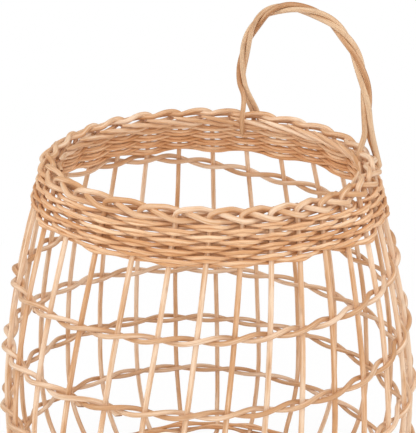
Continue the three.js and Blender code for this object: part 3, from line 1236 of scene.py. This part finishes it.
@dataclass
class Pairing:
    """Two runs of weavers that change places between every two stakes and wind down the open body."""

    stakes: StakeRing
    top: float
    bottom: float
    seed: int = 200
    run_seeds: int = 10
    lead_in: int = 3
    lead_in_stakes: int = 2
    lead_rise: float = 1.4
    lead_drop: float = 9.0
    lead_stakes: int = 4
    easing: float = 0.039
    rods: int = 5
    rod_stakes: int = 26
    first_rod_stakes: int = 22
    start: int = 12
    weaver_radius: float = 1.62
    weaver_taper: Pair = (1.07, 0.93)
    wander: float = 0.3
    tip_slant: float = 2.2
    twist: float = 1.68
    cuts: int = 4
    overlap: float = 0.34
    butt_sink: float = 3.2
    tip_sink: float = 2.2
    dip: float = 3.0
    dip_focus: int = 3
    dipped_side: float = math.radians(8)

    def rod_end(self, rod: int) -> int:
        """Returns the stake at which a rod ends, counted from where the spiral leaves the collar."""
        return self.first_rod_stakes + rod * self.rod_stakes if rod >= 0 else -self.lead_in

    def height(self, step: float) -> float:
        """Works out the spiral's height after a number of stakes.

        Args:
            step: Stakes from where the spiral leaves the collar.

        Returns:
            Height of the row's middle.
        """
        drop = self.top - self.lead_drop - self.bottom
        lead = self.lead_drop * smoothstep(step / self.lead_stakes)
        lead -= self.lead_rise * smoothstep(-step / self.lead_in_stakes)
        share = max(step, 0) / self.rod_end(self.rods - 1)
        return self.top - lead - drop * share * (1 + self.easing * (1 - share))

    def point(self, step: float, first: int, sink: float = 0.0) -> Vector:
        """Returns a weaver's place after a number of stakes.

        Args:
            step: Stakes from the spiral's start.
            first: Stakes by which this run starts later.
            sink: How far an end hangs below the row.

        Returns:
            The point on the weaver's centre line.
        """
        ring = self.stakes
        height = self.height(step)
        turn = math.pi * (step - first)
        out = -math.cos(turn) * (ring.radius(height) + self.weaver_radius)
        angle = ring.angle(self.start - step, height)
        dip = self.dip * max(math.cos(angle - self.dipped_side), 0.0) ** self.dip_focus
        return ring.wall.point(angle, height, out, math.sin(turn) * self.twist - sink - dip)

    def draw_run(self, letter: str, first: int) -> None:
        """Draws one run of rods, whose butts stick out a little beside the stake where they start.

        Args:
            letter: Letter of the run in its rods' names.
            first: Stakes by which this run starts later.
        """
        thickness = taper(self.weaver_radius, *self.weaver_taper)
        for rod in range(self.rods):
            begin, end = (first + self.rod_end(k) for k in (rod - 1, rod))
            steps = [begin + cut / self.cuts for cut in range(self.cuts * (end - begin) + 1)]
            points = [self.point(step, first) for step in steps]
            if rod > 0:
                points.insert(0, self.point(begin - self.overlap, first, self.butt_sink))
            if rod < self.rods - 1:
                points.append(self.point(end + self.overlap, first, self.tip_sink))
            name = f"pairing_{letter}_{rod + 1}"
            seed = self.seed + self.run_seeds * first + rod
            Rod(name, points, thickness, Willow.PALE, seed, self.wander, end_slant=self.tip_slant).draw()

    def draw(self) -> None:
        """Draws both runs."""
        self.draw_run("a", 0)
        self.draw_run("b", 1)


@dataclass
class HangingLoop:
    """Three rods roped round each other that part at each foot and grip the rim from both sides."""

    stakes: StakeRing
    seed: int = 300
    rim_top: float = 289.85
    foot_width: float = 118.0
    foot_depth: float = 15.0
    arch_width: float = 120.0
    arch_shift: float = -0.3
    height: float = 82.8
    rod_radius: float = 1.84
    rod_taper: Pair = (1.05, 0.95)
    wander: float = 0.15
    third_turns: int = 8
    parting: float = 12.0
    steps: int = 48
    roundness: float = 2.35
    wall_side: float = math.radians(90)
    lean: float = 5.0
    lean_height: float = 7.0
    outer_grips: Pair = (6.8, 6.4)
    inner_grips: Pair = (-6.0, -11.5)
    outer_insets: Pair = (3.0, 8.5)
    inner_insets: Pair = (0.0, 2.6)
    outer_partings: Pair = (13.0, 16.0)
    rods: tuple[str, ...] = ("loop_rod_right", "loop_rod_left", "loop_rod_middle")

    def rim_radius(self) -> float:
        """Returns the wall's radius where the feet reach the rim."""
        return self.stakes.wall.radius(self.rim_top)

    def half_angle(self) -> float:
        """Returns the angle from the loop's middle to a foot."""
        return math.asin(self.foot_width / 2 / self.rim_radius())

    def arch(self, step: float) -> Vector:
        """Follows the loop's arch from the foot at one side to the other.

        Args:
            step: Step along the arch, 0 at the first foot.

        Returns:
            The point in the rope's middle.
        """
        c = math.cos(math.pi * step / self.steps)
        s = abs(math.sin(math.pi * step / self.steps))
        x = self.arch_shift + self.arch_width / 2 * math.copysign(abs(c) ** (2 / self.roundness), c)
        rise = (self.height - self.parting) * s ** (2 / self.roundness)
        x += self.lean * math.exp(-rise / self.lean_height) if c < 0 else 0.0
        plane = self.rim_radius() * math.cos(self.half_angle())
        return Vector((x, plane, self.rim_top + self.parting + rise))

    def foot(self, end: int, turn: float, height: float) -> Vector:
        """Returns a point on a rod's foot.

        Args:
            end: Which foot of the loop, -1 for the first and 1 for the second.
            turn: Where the rod lies in the rope, 0 at the outside of the rim.
            height: Height of the point.

        Returns:
            The point inside or outside the rim.
        """
        radius = self.stakes.wall.radius(height)
        angle = self.wall_side + end * self.half_angle()
        foot = (end + 1) // 2
        if math.cos(turn) < 0:
            beside = end * self.inner_insets[foot] / self.rim_radius()
            return polar(angle - beside, radius + self.inner_grips[foot], height)
        inset = self.outer_insets[foot] + math.copysign(self.rod_radius, math.sin(turn))
        return polar(angle - end * inset / self.rim_radius(), radius + self.outer_grips[foot], height)

    def draw_rod(self, name: str, phase: float, seed: int) -> None:
        """Draws one rod of the rope.

        Args:
            name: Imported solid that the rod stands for.
            phase: Where it lies in the rope at the first foot.
            seed: Number that this rod's chance follows from.
        """
        rope = self.rod_radius / math.sin(math.pi / 3)
        steps = range(self.steps + 1)
        turns = [phase - FULL_TURN / 3 * self.third_turns * i / self.steps for i in steps]
        heights = [self.rim_top - self.foot_depth, self.rim_top - self.foot_depth / 2]
        points = [self.foot(-1, turns[0], height) for height in heights]
        back = Vector((0, 1, 0))
        for i, turn in enumerate(turns):
            middle = self.arch(i)
            second = i > self.steps / 2
            outside = math.cos(turns[-1] if second else turns[0]) > 0
            if outside and middle.z < self.rim_top + self.outer_partings[second]:
                continue
            along = self.arch(min(i + 1, self.steps)) - self.arch(max(i - 1, 0))
            normal = along.normalized().cross(back)
            points.append(middle + (back * math.cos(turn) + normal * math.sin(turn)) * rope)
        points += [self.foot(1, turns[-1], height) for height in heights[::-1]]
        thickness = taper(self.rod_radius, *self.rod_taper)
        Rod(name, points, thickness, Willow.SHADED_ROPE, seed, self.wander).draw()

    def draw(self) -> None:
        """Draws the rods, each a third of a turn round the rope from the next."""
        for number, (name, phase) in enumerate(zip(self.rods, (math.pi / 3, math.pi, -math.pi / 3))):
            self.draw_rod(name, phase, self.seed + number)


def way_to(azimuth: float, elevation: float) -> Vector:
    """Returns the direction from the basket to a place, in degrees round it and above the floor."""
    turn, rise = math.radians(azimuth), math.radians(elevation)
    return Vector((math.sin(turn) * math.cos(rise), -math.cos(turn) * math.cos(rise), math.sin(rise)))


def set_up(name: str, data: bpy.types.ID, aim: Vector, way: Vector, distance: float) -> bpy.types.Object:
    """Sets up a lamp or a camera, turned towards a point.

    Args:
        name: Name of the object.
        data: The lamp or camera.
        aim: Point that it faces.
        way: Direction from that point to it.
        distance: Distance from that point.

    Returns:
        The object.
    """
    thing = bpy.data.objects.new(name, data)
    thing.location = aim + way * distance
    thing.rotation_euler = (-way).to_track_quat("-Z", "Y").to_euler()
    bpy.context.scene.collection.objects.link(thing)
    return thing


@dataclass(frozen=True)
class Lamp:
    """A soft square lamp: where it stands round the basket, how large and how strong it is."""

    name: str
    azimuth: float
    elevation: float
    distance: float
    size: float
    power: float

    def place(self, aim: Vector) -> None:
        """Sets the lamp up towards a point.

        Args:
            aim: Point that the lamp faces.
        """
        light = bpy.data.lights.new(self.name, "AREA")
        light.size = self.size
        light.energy = self.power
        set_up(self.name, light, aim, way_to(self.azimuth, self.elevation), self.distance)


@dataclass
class Studio:
    """White floor and surroundings, soft lamps and the camera at the photograph's view, in metres."""

    floor_radius: float = 8.0
    floor_sides: int = 96
    sky_strength: float = 0.34
    floor_glow: float = 0.85
    shadow_reach: Pair = (0.2, 0.6)
    view_azimuth: float = 47.5
    view_elevation: float = 21.0
    view_distance: float = 0.9
    aim_height: float = 0.2443
    aim_shift: float = -0.0004
    lens: float = 113.24
    sensor_width: float = 36.0
    clip: Pair = (0.05, 50.0)
    lamps: tuple[Lamp, ...] = (
        Lamp("key_lamp", 45.0, 30.0, 1.6, 1.4, 15.2),
        Lamp("left_lamp", -45.0, 42.0, 1.6, 1.2, 13.0),
        Lamp("right_lamp", 140.0, 42.0, 1.6, 1.2, 13.0),
    )

    def floor_material(self) -> bpy.types.Material:
        """Builds a white that glows for the camera, less so near the basket, where its shadow lies.

        Returns:
            The floor's material.
        """
        material = bpy.data.materials.new("white_floor")
        material.use_nodes = True
        sheet = NodeSheet(material.node_tree)
        matt = sheet.put("ShaderNodeBsdfDiffuse")
        sheet.feed(matt.inputs["Color"], WHITE)
        glow = sheet.put("ShaderNodeEmission")
        reach = sheet.put("ShaderNodeVectorMath", operation="LENGTH")
        sheet.feed(reach.inputs[0], sheet.put("ShaderNodeTexCoord").outputs["Object"])
        white = sheet.remap(reach.outputs["Value"], self.shadow_reach, (self.floor_glow, 1.0))
        seen = sheet.calc("MULTIPLY", sheet.put("ShaderNodeLightPath").outputs["Is Camera Ray"], white)
        both = sheet.put("ShaderNodeMixShader")
        sheet.feed(both.inputs[0], seen)
        sheet.feed(both.inputs[1], matt.outputs[0])
        sheet.feed(both.inputs[2], glow.outputs[0])
        sheet.feed(sheet.put("ShaderNodeOutputMaterial").inputs["Surface"], both.outputs[0])
        return material

    def draw_floor(self) -> None:
        """Draws the floor, which looks white and keeps the basket's shadow."""
        shape = bmesh.new()
        sides, radius = self.floor_sides, self.floor_radius
        bmesh.ops.create_circle(shape, cap_ends=True, segments=sides, radius=radius)
        floor = make_piece("floor", shape, self.floor_material())

    def set_sky(self) -> None:
        """Sets white surroundings that light the basket evenly."""
        world = bpy.data.worlds.new("white_room")
        world.use_nodes = True
        sheet = NodeSheet(world.node_tree)
        seen = sheet.put("ShaderNodeLightPath").outputs["Is Camera Ray"]
        sky = sheet.put("ShaderNodeBackground")
        sheet.feed(sky.inputs["Color"], WHITE)
        sheet.feed(sky.inputs["Strength"], sheet.remap(seen, (0.0, 1.0), (self.sky_strength, 1.0)))
        sheet.feed(sheet.put("ShaderNodeOutputWorld").inputs["Surface"], sky.outputs[0])
        bpy.context.scene.world = world

    def set_camera(self) -> None:
        """Sets the camera at the photograph's view."""
        camera = bpy.data.cameras.new("view")
        camera.lens = self.lens
        camera.sensor_width = self.sensor_width
        camera.clip_start, camera.clip_end = self.clip
        turn = math.radians(self.view_azimuth)
        aim = UP * self.aim_height + Vector((math.cos(turn), math.sin(turn), 0)) * self.aim_shift
        way = way_to(self.view_azimuth, self.view_elevation)
        bpy.context.scene.camera = set_up("view", camera, aim, way, self.view_distance)

    def build(self) -> None:
        """Sets up the whole studio."""
        self.draw_floor()
        self.set_sky()
        for lamp in self.lamps:
            lamp.place(UP * self.aim_height)
        self.set_camera()
        bpy.context.scene.view_settings.view_transform = "Standard"


@dataclass
class Basket:
    """The whole basket: base, stakes with the border, upsett, pairing, collar and loop."""

    row_pitch: float = 3.017
    weaver_half: float = 1.258
    upsett_rods: int = 2
    upsett_rows: int = 2
    upsett_seed: int = 50
    collar_rods: int = 4
    collar_rows: int = 8
    collar_seed: int = 60
    spiral_end_gap: float = 25.1
    spiral_drop_under_collar: float = 5.92
    stakes: StakeRing = field(default_factory=lambda: StakeRing(Wall()))

    def rise(self, height: float) -> float:
        """Returns how far a round of weaving climbs at a height of the wall."""
        return self.row_pitch / math.hypot(1, self.stakes.wall.slope(height))

    def upsett(self) -> Randing:
        """Plans the rounds above the base that set the stakes upright.

        Returns:
            The rounds, not yet drawn.
        """
        foot = self.stakes.wall.foot_height
        rise = self.rise(foot)
        rods, rows = self.upsett_rods, self.upsett_rows
        return Randing(self.stakes, "upsett_weaver", rods, rows, foot + rise, rise, self.upsett_seed)

    def collar(self) -> Randing:
        """Plans the rounds under the border.

        Returns:
            The rounds, not yet drawn.
        """
        top = self.stakes.wall.collar_top
        rise = self.rise(top)
        rods, rows = self.collar_rods, self.collar_rows
        start = top - self.weaver_half - rows * rise
        return Randing(self.stakes, "collar_weaver", rods, rows, start, rise, self.collar_seed)

    def build(self) -> None:
        """Draws every rod of the basket."""
        upsett, collar = self.upsett(), self.collar()
        spiral_top = collar.first_height - self.spiral_drop_under_collar
        spiral_bottom = upsett.first_height + upsett.rows * upsett.rise + self.spiral_end_gap
        Base(self.stakes).draw()
        self.stakes.draw()
        upsett.draw()
        Pairing(self.stakes, spiral_top, spiral_bottom).draw()
        collar.draw()
        HangingLoop(self.stakes).draw()


def main() -> None:
    """Builds the basket and its studio."""
    logging.basicConfig(level=logging.INFO, format="%(name)s: %(message)s")
    noise.seed_set(NOISE_SEED)
    Basket().build()
    Studio().build()


if __name__ == "__main__":
    main()
